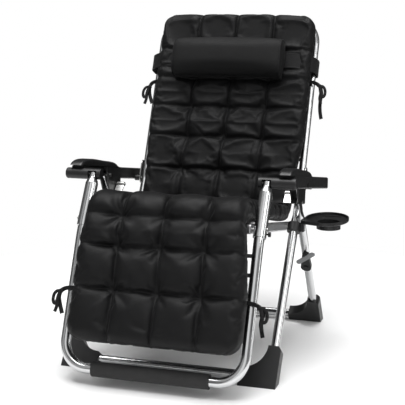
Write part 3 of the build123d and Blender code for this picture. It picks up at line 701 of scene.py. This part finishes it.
BEAD_POINTS, BEAD_RADIUS = 64, 0.0024
for side, end_name in ((-1, "left"), (1, "right")):
    x = side * (pillow_half - 0.006)
    bead = []
    for k in range(BEAD_POINTS):
        rise, out = pillow_section(tau * k / BEAD_POINTS, x)
        bead.append(BACK.at(x, pillow_mid + (rise - pillow_mid) * 0.945,
                            PILLOW_BACK + (out - PILLOW_BACK) * 0.955))
    on_body(piece("pillow_piping_" + end_name, bead_mesh("piping", bead, BEAD_RADIUS), webbing), "headrest")


# section of the pillow's band, in shares of its width and thickness, with a hem along each edge
STRAP_SECTION = ((0, 0.5), (0.06, 0.62), (0.1, 0.5), (0.5, 0.42), (0.9, 0.5), (0.94, 0.62), (1, 0.5),
                 (1, -0.5), (0.5, -0.42), (0, -0.5))
STRAP_WAVE, WAVE_PACE = 0.002, 40   # how far the band wanders up and down, and radians per metre


def strap(name, corners, low, high, thick):
    """Flat band along a route given as (across, out), between two heights on the back's plane."""
    line = smooth_route([Vector((x, out, 0)) for x, out in corners], 3)
    mesh = bmesh.new()
    flat, rings, reach = {}, [], 0
    for i, point in enumerate(line):
        before, after = line[max(i - 1, 0)], line[min(i + 1, len(line) - 1)]
        reach += (point - before).length
        along = (after - before).normalized()
        normal = Vector((-along.y, along.x, 0))
        ring = []
        for share, height in STRAP_SECTION:
            spot = point + normal * height * thick
            rise = low + (high - low) * share + STRAP_WAVE * sin(reach * WAVE_PACE)
            vertex = mesh.verts.new(BACK.at(spot.x, rise, spot.y))
            flat[vertex] = (reach, share * (high - low))
            ring.append(vertex)
        rings.append(ring)
    join_rings(mesh, rings)
    close_ends(mesh, rings)
    return finished(mesh, name, flat.get, smooth=False)


STRAP_SPAN, STRAP_THICK = (0.4, 0.455), 0.0026
half_loop = ((0.17, 0.081), (0.24, 0.081), (0.272, 0.076), (0.302, 0.045), (0.3065, 0.02), (0.3065, -0.01),
             (0.296, -0.0195), (0.2, -0.0205))
loop = half_loop + tuple((-x, out) for x, out in reversed(half_loop))
band = piece("pillow_band", strap("pillow_band", loop, *STRAP_SPAN, STRAP_THICK), webbing)
on_body(band, "headrest", "pillow_strap")

# ---- floor, light and background ----------------------------------------------------------------
FLOOR_RADIUS = 1.5
floor_mesh = bpy.data.meshes.new("floor")
grid = bmesh.new()
bmesh.ops.create_circle(grid, cap_ends=True, segments=96, radius=FLOOR_RADIUS)
grid.to_mesh(floor_mesh)
grid.free()
floor = bpy.data.objects.new("floor", floor_mesh)
scene.collection.objects.link(floor)
floor.location.z = -0.0005
floor_paint = Paint("floor_paint", (0.93, 0.93, 0.93), 0.6)
floor_paint.tint(floor_paint.noise(0.6, 3), (0.91, 0.91, 0.91))
floor_mesh.materials.append(floor_paint.material)


def add_lamp(name, kind, power):
    light = bpy.data.lights.new(name, kind)
    light.energy = power
    lamp = bpy.data.objects.new(name, light)
    scene.collection.objects.link(lamp)
    return lamp


def soft_light(name, place, size, power):
    """Rectangular panel that faces the middle of the object."""
    lamp = add_lamp(name, "AREA", power)
    lamp.data.shape = "RECTANGLE"
    lamp.data.size, lamp.data.size_y = size
    lamp.location = place
    lamp.rotation_euler = (Vector((0, 0, 0.5)) - Vector(place)).to_track_quat("-Z", "Y").to_euler()


soft_light("key", (2.6, -1.6, 2.6), (1.2, 1.2), 22)
soft_light("side", (3.0, 0.2, 1.2), (0.5, 2.2), 9)
soft_light("top", (-0.6, -0.6, 3.2), (2.5, 2.0), 22)
add_lamp("overhead", "SUN", 3.2).data.angle = radians(50)

# direction in turns, clockwise seen from above from the front of the object, and brightness
WORLD_PANELS = ((0.015, 1.0), (0.03, 0.05), (0.055, 0.05), (0.07, 0.5), (0.15, 0.5), (0.19, 0.16), (0.3, 0.1),
                (0.36, 0.04), (0.6, 0.04), (0.66, 0.16), (0.74, 0.4), (0.8, 0.2), (0.88, 0.22), (0.92, 1.0))


def studio_world():
    """White for the camera; the object reflects white panels with dark gaps between them, as in a studio."""
    world = bpy.data.worlds.new("studio")
    scene.world = world
    world.use_nodes = True
    tree = world.node_tree
    background = tree.nodes["Background"]
    coords = tree.nodes.new("ShaderNodeTexCoord")
    axes = tree.nodes.new("ShaderNodeSeparateXYZ")
    azimuth = tree.nodes.new("ShaderNodeMath")
    azimuth.operation = "ARCTAN2"
    turns = tree.nodes.new("ShaderNodeMath")
    turns.operation = "MULTIPLY_ADD"
    turns.inputs[1].default_value = 1 / tau
    turns.inputs[2].default_value = 0.5
    ramp = tree.nodes.new("ShaderNodeValToRGB")
    paths = tree.nodes.new("ShaderNodeLightPath")
    mix = tree.nodes.new("ShaderNodeMix")
    mix.data_type = "RGBA"
    tree.links.new(coords.outputs["Generated"], axes.inputs[0])
    tree.links.new(axes.outputs["X"], azimuth.inputs[0])
    tree.links.new(axes.outputs["Y"], azimuth.inputs[1])
    tree.links.new(azimuth.outputs[0], turns.inputs[0])
    tree.links.new(turns.outputs[0], ramp.inputs["Fac"])
    stops = ramp.color_ramp.elements
    for stop in stops:
        stop.color = (1.0, 1.0, 1.0, 1)
    for place, level in WORLD_PANELS:
        stops.new(place).color = (level, level, level, 1)
    tree.links.new(paths.outputs["Is Camera Ray"], mix.inputs["Factor"])
    tree.links.new(ramp.outputs["Color"], mix.inputs[6])
    mix.inputs[7].default_value = (1.0, 1.0, 1.0, 1)
    tree.links.new(mix.outputs[2], background.inputs["Color"])
    background.inputs["Strength"].default_value = 1.0


studio_world()
scene.view_settings.view_transform = "Standard"
